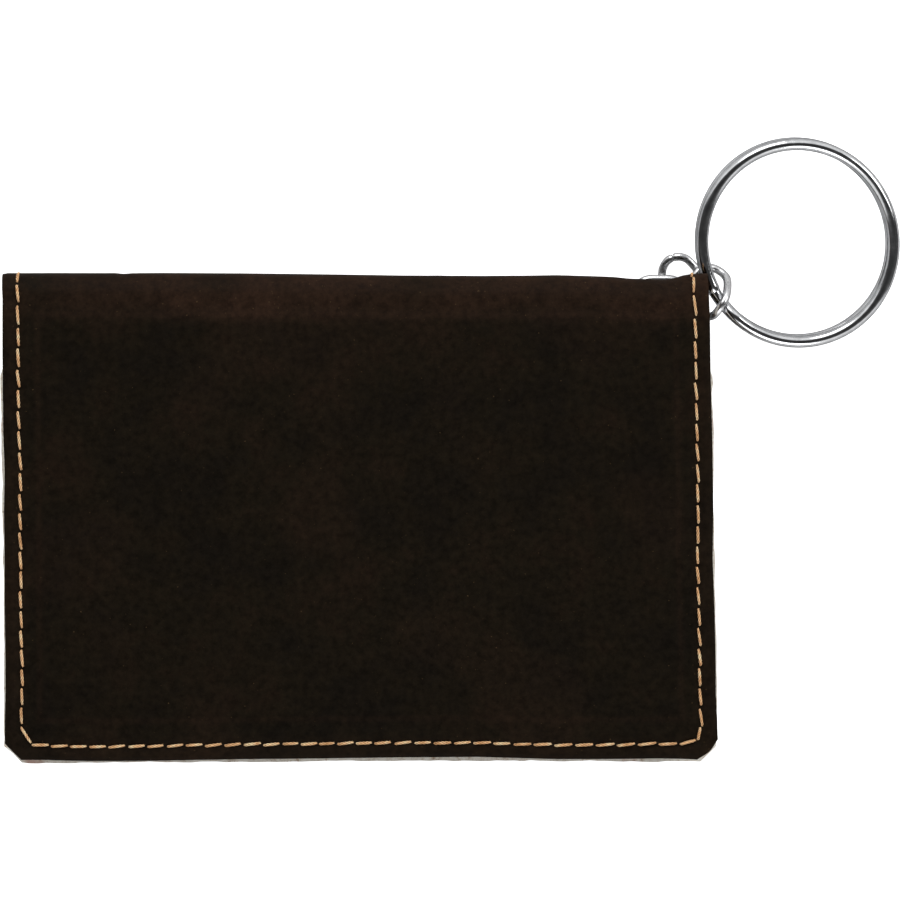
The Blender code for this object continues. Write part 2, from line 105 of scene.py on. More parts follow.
def colour(code):
    parts = [int(code[i:i + 2], 16) / 255 for i in (1, 3, 5)]
    return tuple(c / 12.92 if c <= 0.04045 else ((c + 0.055) / 1.055) ** 2.4 for c in parts) + (1.0,)


def addNode(tree, kind, settings=None, links=None):
    node = tree.nodes.new(kind)
    for name, value in (settings or {}).items():
        if isinstance(name, int) or name in node.inputs:
            node.inputs[name].default_value = value
        else:
            setattr(node, name, value)
    for name, source in (links or {}).items():
        tree.links.new(source, node.inputs[name])
    return node


def addRamp(tree, source, stops):
    ramp = addNode(tree, "ShaderNodeValToRGB", links={0: source})
    elements = ramp.color_ramp.elements
    while len(elements) < len(stops):
        elements.new(0.5)
    for element, (position, value) in zip(elements, stops):
        element.position = position
        element.color = value if isinstance(value, tuple) else (value, value, value, 1)
    return ramp.outputs[0]


def startMaterial(name, values):
    made = bpy.data.materials.new(name)
    made.use_nodes = True
    tree = made.node_tree
    shader = tree.nodes["Principled BSDF"]
    for key, value in values.items():
        shader.inputs[key].default_value = value
    where = addNode(tree, "ShaderNodeTexCoord").outputs["Object"]
    return made, tree, shader, where


def addNoise(tree, where, size, detail, roughness=0.5, distortion=0.0):
    # size is in millimetres
    return addNode(tree, "ShaderNodeTexNoise", {
        "Scale": 1 / (size * mm), "Detail": detail, "Roughness": roughness, "Distortion": distortion},
        {"Vector": where}).outputs["Fac"]


def addMix(tree, settings, links):
    return addNode(tree, "ShaderNodeMix", {"data_type": "RGBA", **settings}, links).outputs[2]


def addScaled(tree, source, factor, base):
    # source times factor, on top of base
    return addNode(tree, "ShaderNodeMath", {"operation": "MULTIPLY_ADD", 1: factor},
                   {0: source, 2: base}).outputs[0]


def addBump(tree, shader, strength, distance, height):
    # distance is in millimetres
    bump = addNode(tree, "ShaderNodeBump", {"Strength": strength, "Distance": distance * mm},
                   {"Height": height})
    tree.links.new(bump.outputs[0], shader.inputs["Normal"])


def makeLeatherette(name, settings):
    # polyurethane film on felt: embossed with a fine hide grain, almost matte, browner where it is rubbed
    made, tree, shader, where = startMaterial(name, {"IOR": 1.45, "Specular IOR Level": settings["gloss"]})
    patches = addNoise(tree, where, 11, 6.0, 0.68)
    mottle = addNoise(tree, where, 1.1, 5.0, 0.7)
    rubbed = addNode(tree, "ShaderNodeAttribute", {"attribute_name": "rubbed"}).outputs["Fac"]
    base = addRamp(tree, patches, [(0.38, colour(settings["dark"])), (0.52, colour(settings["middle"])),
                                   (0.68, colour(settings["light"]))])
    worn = addMix(tree, {7: colour(settings["rubbed"])}, {0: rubbed, 6: base})
    spots = addRamp(tree, mottle, [(0.34, 0.62), (0.52, 1.0), (0.72, 1.4)])
    mixed = addMix(tree, {"blend_type": "MULTIPLY", 0: 1.0}, {6: worn, 7: spots})
    # pale fibres and scuffs about 0.2 mm across, in loose groups, most of them where the film is rubbed
    group = addScaled(tree, patches, 0.06, addNoise(tree, where, 0.34, 1.0))
    drift = addScaled(tree, rubbed, 0.035, group)
    fleckMask = addRamp(tree, drift, [(0.80, 0.0), (0.86, settings["flecks"])])
    finish = addMix(tree, {7: colour(settings["fleck"])}, {0: fleckMask, 6: mixed})
    tree.links.new(finish, shader.inputs["Base Color"])
    middle = settings["roughness"]
    sheen = addRamp(tree, mottle, [(0.3, middle - 0.07), (0.7, middle + 0.08)])
    tree.links.new(sheen, shader.inputs["Roughness"])
    # hide grain: cells of about 0.5 mm with finer pores, over creases of 3 mm
    cells = addNode(tree, "ShaderNodeTexVoronoi", {"Scale": 1 / (0.52 * mm), "Randomness": 1.0},
                    {"Vector": where}).outputs["Distance"]
    grain = addScaled(tree, addNoise(tree, where, 0.22, 3.0), 0.5, cells)
    height = addScaled(tree, addNoise(tree, where, 3.2, 3.0, distortion=1.2), 1.6, grain)
    addBump(tree, shader, settings["grain"], 0.06, height)
    return made


def makeRawEdge():
    # the cut edge shows the felt backing: off-white and fuzzy, stained red-brown by the film's colour
    made, tree, shader, where = startMaterial("cut felt backing", {
        "Roughness": 0.95, "Specular IOR Level": 0.1})
    fuzz = addNoise(tree, where, 0.9, 5.0, 0.7)
    felt = addRamp(tree, fuzz, [(0.3, colour("#b59a84")), (0.42, colour("#e6ddcf")),
                                (0.6, colour("#f8f4ea"))])
    stain = addRamp(tree, addNoise(tree, where, 7.5, 3.0), [(0.58, 0.0), (0.7, 0.6)])
    mixed = addMix(tree, {7: colour("#a3533f")}, {0: stain, 6: felt})
    tree.links.new(mixed, shader.inputs["Base Color"])
    addBump(tree, shader, 0.7, 0.12, fuzz)
    return made


def makeThread():
    # three-ply waxed polyester: the plies are in the mesh, the fibres in the bump
    made, tree, shader, where = startMaterial("tan three-ply thread", {
        "Roughness": 0.62, "Specular IOR Level": 0.25, "Sheen Weight": 0.25, "Sheen Roughness": 0.5})
    tone = addRamp(tree, addNoise(tree, where, 1.1, 4.0), [
        (0.3, colour("#cd9861")), (0.5, colour("#f4c28b")), (0.7, colour("#ffe7b6"))])
    # painted shade: the grooves between the plies are darkened to red-brown, as if lying in their own
    # shadow
    crown = addNode(tree, "ShaderNodeAttribute", {"attribute_name": "crown"}).outputs["Fac"]
    grooveShaded = addMix(tree, {6: colour("#6b3216")}, {0: crown, 7: tone})
    tree.links.new(grooveShaded, shader.inputs["Base Color"])
    addBump(tree, shader, 0.35, 0.03, addNoise(tree, where, 0.09, 2.0))
    return made


def makeChrome(name, settings):
    # plate on drawn wire: faint marks and a few dull spots, mirror bright on the ring, duller on the links
    made, tree, shader, where = startMaterial(name, {
        "Metallic": 1.0, "Specular Tint": colour("#8c8d90")})
    wear = addNoise(tree, where, 1.8, 5.0, 0.7)
    tone = addRamp(tree, wear, [(0.3, colour(settings["dark"])), (0.6, colour(settings["light"]))])
    tree.links.new(tone, shader.inputs["Base Color"])
    rough = addRamp(tree, wear, list(zip((0.35, 0.6, 0.8), settings["roughness"])))
    tree.links.new(rough, shader.inputs["Roughness"])
    addBump(tree, shader, 0.12, 0.03, addNoise(tree, where, 0.5, 3.0))
    return made


def makeVinyl():
    # clear flexible PVC: glossy, see-through, a little wavy, with a bluish cast
    made, tree, shader, where = startMaterial("clear PVC sheet", {
        "Base Color": colour("#dfe8ea"), "Roughness": 0.12, "IOR": 1.53, "Alpha": 0.28,
        "Specular IOR Level": 0.6})
    wave = addNoise(tree, where, 13, 2.0)
    addBump(tree, shader, 0.5, 0.35, wave)
    tree.links.new(addRamp(tree, wave, [(0.4, 0.10), (0.7, 0.2)]), shader.inputs["Roughness"])
    return made


def makeLiningCloth():
    # plain-woven brown polyester, coarse enough for the weave to show
    made, tree, shader, where = startMaterial("woven polyester lining", {
        "Roughness": 0.8, "Specular IOR Level": 0.12})
    threadWidth = 0.45 * mm
    threads = [addNode(tree, "ShaderNodeTexWave", {
        "bands_direction": direction, "Scale": 2 * math.pi / (20 * threadWidth), "Distortion": 0.15},
        {"Vector": where}).outputs["Fac"] for direction in ("X", "Y")]
    weave = addNode(tree, "ShaderNodeMath", {"operation": "MULTIPLY"},
                    {0: threads[0], 1: threads[1]}).outputs[0]
    tone = addRamp(tree, weave, [(0.0, colour("#1d120b")), (0.7, colour("#38261a")),
                                 (1.0, colour("#4a3324"))])
    tree.links.new(tone, shader.inputs["Base Color"])
    addBump(tree, shader, 0.5, 0.08, weave)
    return made


def makeBoard():
    # pressed grey board, with short fibres
    made, tree, shader, where = startMaterial("pressed grey board", {
        "Roughness": 0.9, "Specular IOR Level": 0.15})
    fibre = addNoise(tree, where, 0.8, 6.0, 0.7)
    tone = addRamp(tree, fibre, [(0.3, colour("#6f685f")), (0.7, colour("#a59c90"))])
    tree.links.new(tone, shader.inputs["Base Color"])
    addBump(tree, shader, 0.4, 0.05, fibre)
    return made


def makeFloor():
    # pale paper, burnt out to plain white in the picture, as in a cut-out product photograph
    made, tree, shader, where = startMaterial("white paper sweep", {
        "Roughness": 0.9, "Specular IOR Level": 0.1})
    tone = addRamp(tree, addNoise(tree, where, 2.0, 3.0), [
        (0.3, colour("#dedede")), (0.7, colour("#e4e4e4"))])
    tree.links.new(tone, shader.inputs["Base Color"])
    shader.inputs["Emission Color"].default_value = (1.0, 1.0, 1.0, 1.0)
    seen = addNode(tree, "ShaderNodeLightPath").outputs["Is Camera Ray"]
    tree.links.new(seen, shader.inputs["Emission Strength"])
    return made


outerLeather = makeLeatherette("dark brown leatherette", {
    "dark": "#130f0a", "middle": "#17120b", "light": "#1c140d", "rubbed": "#291c14",
    "fleck": "#735c40", "flecks": 0.4, "gloss": 0.035, "roughness": 0.62, "grain": 0.42})
innerLeather = makeLeatherette("dark brown leatherette, pocket", {
    "dark": "#150f0a", "middle": "#1b140d", "light": "#211810", "rubbed": "#2b1d15",
    "fleck": "#735c40", "flecks": 0.3, "gloss": 0.06, "roughness": 0.6, "grain": 0.5})
rawEdge = makeRawEdge()
threadTan = makeThread()
chromeWire = makeChrome("chrome-plated steel wire", {
    "dark": "#b6b7b9", "light": "#cfd0d2", "roughness": (0.10, 0.16, 0.26)})
nickelWire = makeChrome("nickel-plated steel wire", {
    "dark": "#c4c4c5", "light": "#dededf", "roughness": (0.24, 0.31, 0.4)})
clearVinyl = makeVinyl()
liningCloth = makeLiningCloth()
greyBoard = makeBoard()
print("materials made")


# everything is deselected before each new primitive, because operators act on all that is selected
def pickOnly(piece=None):
    for other in bpy.context.view_layer.objects:
        other.select_set(False)
    if piece is not None:
        piece.select_set(True)
        bpy.context.view_layer.objects.active = piece


def editMode(piece, mode="FACE"):
    pickOnly(piece)
    bpy.ops.object.mode_set(mode="EDIT")
    bpy.ops.mesh.select_mode(type=mode)


def objectMode():
    bpy.ops.object.mode_set(mode="OBJECT")


def faceOutward(piece, merge=None):
    # points closer than merge millimetres are joined first
    editMode(piece)
    bpy.ops.mesh.select_all(action="SELECT")
    if merge is not None:
        bpy.ops.mesh.remove_doubles(threshold=merge * mm)
    bpy.ops.mesh.normals_make_consistent(inside=False)
    objectMode()


def extrudeSelected(piece, move):
    bpy.ops.mesh.extrude_region_move(TRANSFORM_OT_translate={"value": (0, 0, 0)})
    shape = bmesh.from_edit_mesh(piece.data)
    for vert in shape.verts:
        if vert.select:
            vert.co = move(vert.co)


def settle(piece):
    pickOnly(piece)
    bpy.ops.object.transform_apply(location=True, rotation=True, scale=True)


def addObject(name, data):
    made = bpy.data.objects.new(name, data)
    bpy.context.collection.objects.link(made)
    return made


def makeSheet(name, middle, width, depth, across, down):
    pickOnly()
    bpy.ops.mesh.primitive_grid_add(x_subdivisions=across, y_subdivisions=down, size=1, location=middle)
    piece = bpy.context.object
    piece.name = piece.data.name = name
    piece.scale = (width * mm, depth * mm, 1)
    settle(piece)
    return piece


def makeCurve(name, spots, radius, sides):
    # each spot is x, y, z and its share of the radius
    data = bpy.data.curves.new(name, "CURVE")
    data.dimensions = "3D"
    data.bevel_depth = radius
    data.bevel_resolution = sides
    data.use_fill_caps = True
    spline = data.splines.new("POLY")
    spline.points.add(len(spots) - 1)
    for point, (x, y, z, share) in zip(spline.points, spots):
        point.co = (x, y, z, 1)
        point.radius = share
    return addObject(name, data)


def onlyMaterial(piece, made):
    piece.data.materials.clear()
    piece.data.materials.append(made)


def readMesh(piece):
    flat = np.empty(len(piece.data.vertices) * 3)
    piece.data.vertices.foreach_get("co", flat)
    return flat.reshape(-1, 3)


def readPoints(piece):
    return (readMesh(piece) - np.array(origin)) / mm


def writePoints(piece, points):
    piece.data.vertices.foreach_set("co", (points * mm + np.array(origin)).ravel())
    piece.data.update()


# one half of the leatherette: flat sheet, half of the fold, and the edges turned in round three sides
leather = {
    "gridStep": 0.42,
    "coarseStep": 1.3,       # the back's, which shows less
    "arcCrowding": 0.9,      # steps round the fold are this much shorter
    "meetAngle": 80,         # degrees of fold on the front's side of the meeting line
    "hemDepth": 1.87,
    "hemWidth": 4.9,
    "wall": 0.9,
    "boardMargins": (5.6, 6.4, 6.6),    # side, bottom, top
    "boardRise": 0.13,
    "boardDip": 0.05,        # beside the board's edge, and the swell beside the seam
    "seamSink": 0.16,
    "seamWidth": 0.75,
    "holeSink": 0.3,
    "holeWidth": 0.33,
    "bulge": 0.33,           # of the blunt corner, and how far in it lies
    "bulgeSize": 1.7,
    "swells": ((0.07, 9, 1), (0.16, 32, 2), (0.035, 2.6, 3)),      # height, size and seed of each
    "backSwells": ((0.05, 11, 5), (0.08, 34, 6)),
    "creases": ((0.05, 2.2, 4),),
    "fray": ((0.16, 1.7, 8),),
    "edgeThin": (0.28, 0.42),           # depth and width of the rounding at the edges
    "backThin": (0.2, 0.5),
    "sag": 0.25,             # where the corner falls over the chain
    "sagX": (92, 108),
    "sagY": (-10, 0),
    "topReach": (-9, -2),    # the top outline fades in over these heights
    "marginWear": 0.16,
    "boardWear": 0.22,
    "patchWear": 0.15,
    "sideSeams": (2.4, 2.25),
    "pitch": 2.95,
    "relief": (105.85, -3.9),           # the back's corner gives way to the key ring here
    "overlap": 9,            # degrees by which the back's side of the fold goes on under the front's
    "overlapSink": 0.3,
    "frontBlend": (140, 180),           # degrees of fold, from and to
    "backBlend": (45, 92),
    "blendX": 50,            # millimetres along the fold
}

# the hand-cut outline: how far each edge lies from its straight line, in mm, X to the right and Y up
outlineLeft = ((-74, 0.05), (-68, 0.07), (-64, 0.18), (-58, 0.17), (-51, 0.05), (-43, 0.03), (-36, -0.05),
               (-30, 0.06), (-24, -0.16), (-12, -0.3), (-4, -0.3), (-1.7, -0.42), (0, -0.62))
outlineRight = ((-74, 0.3), (-68, 0.22), (-64, 0.0), (-58, -0.05), (-51, -0.21), (-43, -0.5), (-36, -0.38),
                (-24, -0.57), (-15, -0.8), (-7, -0.9), (-3, -1.05), (0, -1.15))
outlineBottom = ((0, 0.3), (5.5, 0.3), (12, 0.14), (18, 0.13), (24, 0.2), (36, 0.43), (48, 0.53), (60, 0.7),
                 (72, 0.77), (84, 0.42), (93, 0.44), (99, 0.53), (103, 0.45), (108, 0.3))
outlineTop = ((0, 0.36), (2, 0.36), (5.5, 0.37), (17, 0.36), (18, 0.18), (19.2, 0.36), (24, 0.38),
              (36, 0.32), (48, 0.18), (60, 0.0), (72, -0.14), (84, 0.05), (90, -0.12), (93, -0.22),
              (96, -0.5), (99, -0.56), (101.5, -0.68), (103, -0.45), (104.5, -0.05), (105.5, 0.2),
              (108, 0.3))
# the back's raw edge, in the same way
rawLeft = ((-74, -0.1), (-65, -0.25), (-58, -0.12), (-51, -0.2), (-43, -0.25), (-36, -0.4), (-30, -0.45),
           (-24, -0.55), (-17, -0.7), (-14.5, -0.6), (-13, 0.1), (0, 0.6))
rawRight = ((-74, -0.1), (-70, -0.1), (-65, 0.07), (-58, -0.07), (-51, -0.2), (-43, -0.37), (-36, -0.55),
            (-30, -0.52), (-24, -0.42), (-20, -0.68), (-17.5, -0.9), (-16.5, -0.6), (-15.5, -0.65),
            (-14, -1.35), (0, -1.55))
rawBottom = ((0, 0.1), (5, 0.0), (12, 0.03), (20, 0.18), (36, 0.2), (48, 0.33), (60, 0.4), (84, 0.35),
             (96, 0.33), (99, 0.2), (104, 0.4), (108, 0.3))


def along(table, value):
    return np.interp(value, [row[0] for row in table], [row[1] for row in table])


def waves(points, size, seed):
    shift = Vector((seed * 13.7, seed * 5.1, seed * 2.3))
    return np.array([noise.noise(Vector(p) / size + shift) for p in points])


def swell(points, parts):
    return sum(height * waves(points, size, seed) for height, size, seed in parts)


def edgeShares(x, y, sideReach, bottomReach):
    # 1 at the left, right and bottom edges, down to 0 at the reach from each, in millimetres
    width, low = holder["width"], -holder["depth"]
    return 1 - ease(x, 0, sideReach), ease(x, width - sideReach, width), 1 - ease(y, low, low + bottomReach)


def cornerSag(x, y):
    return leather["sag"] * ease(x, *leather["sagX"]) * ease(y, *leather["sagY"])


def insideBoard(x, y):
    side, bottom, top = leather["boardMargins"]
    return np.minimum.reduce([x - side, holder["width"] - side - x, y + holder["depth"] - bottom, -top - y])


# the front's seam: each corner's place, and how many stitches lead on to the next, as the pitch drifts;
# above the fold's start its Y is the length of arc
frontSeam = ((leather["sideSeams"][0], -1.56, 3), (2.4, -11.1, 7), (2.42, -33.1, 12), (2.54, -68.7, 1),
             (3.92, -71.68, 1), (6.8, -71.76, 12), (42.0, -71.72, 5), (55.9, -71.75, 7), (77.0, -71.85, 8),
             (102.0, -71.75, 1), (104.7, -71.05, 1), (105.5, -69.05, 19), (105.7, -10.0, 2),
             (holder["width"] - leather["sideSeams"][1], -3.15, 0))


def stitchRuns(corners):
    runs = []
    for start, end in zip(corners, corners[1:]):
        count = start[2] if len(start) > 2 else round(math.dist(start, end) / leather["pitch"])
        spots = [tuple(s + (e - s) * i / count for s, e in zip(start[:2], end[:2]))
                 for i in range(count + 1)]
        runs += zip(spots, spots[1:])
    return runs


def shapeOutline(points):
    # the flat sheet's edges are drawn to the hand-cut outline, and everything near them follows
    x, y = points[:, 0].copy(), points[:, 1].copy()
    leftShare, rightShare, bottomShare = edgeShares(x, y, 30, 20)
    topShare = ease(y, *leather["topReach"])
    # the right-hand corner is cut to a blunt curve
    size = leather["bulgeSize"]
    away = (x - holder["width"] + size) ** 2 + (y + holder["depth"] - size) ** 2
    bulge = leather["bulge"] * np.exp(-(away / size ** 2))
    points[:, 0] += bulge
    points[:, 1] -= bulge
    points[:, 0] += along(outlineLeft, y) * leftShare + along(outlineRight, y) * rightShare
    points[:, 1] += along(outlineBottom, x) * bottomShare + along(outlineTop, x) * topShare
    return points


def seamDistance(x, y, corners):
    best = np.full(len(x), 1e9)
    for (ax, ay), (bx, by) in zip([c[:2] for c in corners], [c[:2] for c in corners[1:]]):
        length = (bx - ax) ** 2 + (by - ay) ** 2
        share = np.clip(((x - ax) * (bx - ax) + (y - ay) * (by - ay)) / length, 0, 1)
        best = np.minimum(best, np.hypot(x - ax - share * (bx - ax), y - ay - share * (by - ay)))
    return best


def reliefHeight(x, y, corners, holes):
    # what shows through and presses into the leatherette, in mm outwards
    inside = insideBoard(x, y)
    height = leather["boardRise"] * ease(inside, -1.3, 0.5) - leather["boardDip"] * bell(inside, -1.6, 0.8)
    away = seamDistance(x, y, corners)
    height -= leather["seamSink"] * bell(away, 0, leather["seamWidth"])
    height += leather["boardDip"] * bell(away, 1.5, 0.6)
    for hx, hy in holes:
        height -= leather["holeSink"] * bell(np.hypot(x - hx, y - hy), 0, leather["holeWidth"])
    return height


def spinFold(piece, sweep, steps):
    # the sheet's upper edge is spun round the middle of the fold, and edit mode stays on
    editMode(piece, "EDGE")
    shape = bmesh.from_edit_mesh(piece.data)
    bpy.ops.mesh.select_all(action="DESELECT")
    centre = place(0, -holder["foldRadius"], holder["foldHeight"])
    for edge in shape.edges:
        edge.select_set(all(abs(v.co.y - centre.y) < hair * mm for v in edge.verts))
    bpy.ops.mesh.spin(steps=steps, angle=math.radians(sweep), center=centre, axis=(1, 0, 0))
    bpy.ops.mesh.select_all(action="SELECT")
    bpy.ops.mesh.remove_doubles(threshold=hair * mm)


def makeLeaf(name, left, right, bottom, sweep, onBack):
    step = leather["coarseStep" if onBack else "gridStep"]
    foldY = -holder["foldRadius"]
    width, depth = right - left, foldY - bottom
    top = holder["top"]
    piece = makeSheet(name, place(left + width / 2, bottom + depth / 2, top), width, depth,
                      round(width / step), round(depth / step))
    arc = math.radians(sweep) * holder["foldRadius"]
    spinFold(piece, sweep, round(arc / (step * leather["arcCrowding"])))

    # the two cut corners
    cuts = holder["backCuts" if onBack else "cornerCuts"]
    for corner, direction, cut in ((left, 1, cuts[0]), (right, -1, cuts[1])):
        bpy.ops.mesh.select_all(action="SELECT")
        bpy.ops.mesh.bisect(plane_co=place(corner + direction * cut, bottom, top),
                            plane_no=(-direction, -1, 0), clear_outer=True)
    if onBack:
        shape = bmesh.from_edit_mesh(piece.data)
        bpy.ops.mesh.select_all(action="DESELECT")
        bpy.ops.mesh.select_mode(type="FACE")
        limit = place(leather["relief"][0], leather["relief"][1], holder["foldHeight"])
        for face in shape.faces:
            middle = face.calc_center_median()
            face.select_set(middle.x > limit.x and middle.y > limit.y and middle.z > limit.z)
        bpy.ops.mesh.delete(type="FACE")
        bpy.ops.mesh.select_mode(type="EDGE")

    # edges turned in: the rim is drawn down, rounded, then drawn in
    shape = bmesh.from_edit_mesh(piece.data)
    meet = place(0, foldY + holder["foldRadius"] * math.sin(math.radians(sweep)),
                 holder["foldHeight"] + holder["foldRadius"] * math.cos(math.radians(sweep)))
    bpy.ops.mesh.select_all(action="DESELECT")
    for edge in shape.edges:
        onMeet = all(abs(v.co.z - meet.z) < 0.02 * mm and v.co.y > meet.y - 0.5 * mm for v in edge.verts)
        edge.select_set(edge.is_boundary and not onMeet)
    centre = place(0, foldY, holder["foldHeight"])
    hem = leather["hemWidth"] * mm
    low, high = place(left, bottom, 0), place(right, foldY, 0)

    def drawnIn(point):
        x = min(max(point.x, low.x + hem), high.x - hem)
        y = max(point.y, low.y + hem) if point.y < centre.y else point.y
        return Vector((x, y, point.z))

    extrudeSelected(piece, lambda point: inward(point, centre, leather["hemDepth"], leather["wall"]))
    extrudeSelected(piece, drawnIn)
    bpy.ops.mesh.select_all(action="SELECT")
    bpy.ops.mesh.normals_make_consistent(inside=False)
    objectMode()
    return piece


def inward(point, centre, depth, wall):
    # down from the flat sheet, or towards the middle of the fold from its curve
    point = point.copy()
    if point.y <= centre.y + hair * mm:
        point.z -= depth * mm
        return point
    out = Vector((0, point.y - centre.y, point.z - centre.z))
    share = min(1.0, (point.y - centre.y) / (1.2 * mm))
    return point - out.normalized() * (depth + (wall - depth) * share) * mm


def faceMaterials(piece, materials, chosen):
    piece.data.materials.clear()
    for made in materials:
        piece.data.materials.append(made)
    index = np.zeros(len(piece.data.polygons), dtype=np.int32)
    centres = np.empty(len(index) * 3)
    piece.data.polygons.foreach_get("center", centres)
    centres = (centres.reshape(-1, 3) - np.array(origin)) / mm
    index[chosen(centres)] = 1
    piece.data.polygons.foreach_set("material_index", index)


def smoothShade(piece, degrees=40):
    pickOnly(piece)
    bpy.ops.object.shade_smooth_by_angle(angle=math.radians(degrees))


def foldBlend(piece):
    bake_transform(piece)


def rubFold(x, y, patch):
    # browner over the fold, in patches, and least at its left end
    return ease(y, -8.5, -4) * (0.72 + 0.7 * patch) * (0.45 + 0.55 * ease(x, 4, 34))


def rub(piece, shares):
    mask = piece.data.attributes.new("rubbed", "FLOAT", "POINT")
    mask.data.foreach_set("value", np.clip(shares, 0, 1))


def makeFrontLeather():
    piece = makeLeaf("frontLeather", 0.0, holder["width"], -holder["depth"], leather["meetAngle"], False)
    points = readPoints(piece)
    foldY, height = -holder["foldRadius"], holder["foldHeight"]
    flat = points[:, 1] <= foldY
    outer = np.where(flat, points[:, 2] > holder["top"] - hair,
                     np.hypot(points[:, 1] - foldY, points[:, 2] - height) > holder["foldRadius"] - 0.05)
    holes = [run[0] for run in stitchRuns(frontSeam)[1:]]
    x, y = points[:, 0].copy(), points[:, 1].copy()
    # both side seams go on over the fold
    seam = [(frontSeam[0][0], 0.0), *frontSeam[1:-1], (frontSeam[-1][0], 0.0)]
    rise = reliefHeight(x, y, seam, holes)
    rise += swell(points, leather["swells"])
    # the edges are thinned and rounded, less so over the fold
    edge = np.minimum.reduce([x, holder["width"] - x, y + holder["depth"]])
    depth, width = leather["edgeThin"]
    rise -= depth * bell(edge, 0, width) * (1 - 0.8 * ease(y, foldY, -1))
    # creases run along the fold
    stretched = np.column_stack([x * 0.12, y * 1.1, points[:, 2]])
    rise += swell(stretched, leather["creases"]) * ease(y, -9, -4)
    out = np.zeros_like(points)
    out[:, 2] = 1
    around = np.column_stack([np.zeros(len(x)), points[:, 1] - foldY, points[:, 2] - height])
    around /= np.maximum(np.linalg.norm(around, axis=1), 1e-9)[:, None]
    out[~flat] = around[~flat]
    points += out * (rise * outer)[:, None]
    # rubbed outside the seam, over the fold, along the board's edge and in loose patches
    rub(piece, leather["marginWear"] * (1 - ease(edge, 1.6, 4.2)) + rubFold(x, y, waves(points, 7, 9))
        + leather["boardWear"] * bell(insideBoard(x, y), -0.3, 0.45)
        + leather["patchWear"] * ease(waves(points, 17, 11), 0.12, 0.4))
    points[:, 2] -= cornerSag(x, y)
    writePoints(piece, shapeOutline(points))
    smoothShade(piece)
    piece.data.materials.append(outerLeather)
    foldBlend(piece)
    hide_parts("front_cover", "spine_cover")


def makeBackLeather():
    side, bottom = holder["sideOverhang"], holder["bottomOverhang"]
    piece = makeLeaf("backLeather", -side, holder["width"] + side, -holder["depth"] - bottom,
                     180 - leather["meetAngle"] + leather["overlap"], True)
    points = readPoints(piece)
    foldY, height = -holder["foldRadius"], holder["foldHeight"]
    # turned over, from the front's side of the fold to the back's
    points[:, 2] = 2 * height - points[:, 2]
    flat = points[:, 1] <= foldY
    outer = np.where(flat, points[:, 2] < holder["pocket"] + hair,
                     np.hypot(points[:, 1] - foldY, points[:, 2] - height) > holder["foldRadius"] - 0.05)
    rise = swell(points, leather["backSwells"])
    edge = np.minimum.reduce([points[:, 0] + side, holder["width"] + side - points[:, 0],
                              points[:, 1] + holder["depth"] + bottom])
    depth, width = leather["backThin"]
    rise -= depth * bell(edge, 0, width)
    points[:, 2] -= np.where(flat & outer, rise, 0)
    # the raw edge was cut by hand, and frays by a tenth of a millimetre or so
    x, y = points[:, 0].copy(), points[:, 1].copy()
    fray = swell(np.column_stack([x, y, np.zeros(len(x))]), leather["fray"])
    leftShare, rightShare, bottomShare = edgeShares(x, y, 25, 19)
    points[:, 0] += (along(rawLeft, y) + fray) * leftShare
    points[:, 0] += (along(rawRight, y) + fray) * rightShare
    points[:, 1] += (along(rawBottom, x) + fray) * bottomShare
    points[:, 1] += along(outlineTop, x) * ease(y, *leather["topReach"])
    points[:, 1] -= leather["overlapSink"] * ease(points[:, 2], height, height + 0.6) * (y > -1.5)
    rub(piece, rubFold(x, y, waves(points, 7, 9)) * ease(points[:, 2], holder["pocket"], height))
    writePoints(piece, points)
    faceOutward(piece)
    smoothShade(piece)
    faceMaterials(piece, [outerLeather, rawEdge],
                  lambda c: (c[:, 2] > holder["pocket"] + 0.5) & (c[:, 1] < foldY))
    foldBlend(piece)
    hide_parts("back_cover")


# the fold's lining: a strip of cloth in two halves, each running from its panel's side round its part of
# the fold
foldLining = {
    "radius": 0.93,
    "thickness": 0.18,
    "tail": 3.0,
    "sideGap": 0.95,
    "cells": (36, 8),
    "foldSteps": 14,
    "meetAngle": 92,         # degrees from the back's side
    "backBlend": (3, 85),
    "frontBlend": (100, 177),
}


def makeFoldLining(name, onBack):
    radius, tail = foldLining["radius"], foldLining["tail"]
    foldY, height = -holder["foldRadius"], holder["foldHeight"]
    piece = makeSheet(name, place(holder["width"] / 2, foldY - tail / 2, height + radius),
                      holder["width"] - 2 * foldLining["sideGap"], tail, *foldLining["cells"])
    sweep = foldLining["meetAngle"] if onBack else 180 - foldLining["meetAngle"]
    spinFold(piece, sweep, foldLining["foldSteps"])
    bpy.ops.mesh.select_mode(type="FACE")
    bpy.ops.mesh.select_all(action="SELECT")
    centre, thickness = place(0, foldY, height), foldLining["thickness"]
    extrudeSelected(piece, lambda point: inward(point, centre, thickness, thickness))
    objectMode()
    points = readPoints(piece)
    if onBack:
        points[:, 2] = 2 * height - points[:, 2]
    writePoints(piece, points)
    faceOutward(piece)
    smoothShade(piece)
    piece.data.materials.append(liningCloth)
    if onBack:
        foldBlend(piece)
        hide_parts("spine_lining")
    else:
        foldBlend(piece)


makeFrontLeather()
makeBackLeather()
makeFoldLining("foldLiningBack", True)
makeFoldLining("foldLiningFront", False)
print("leatherette and fold lining made")

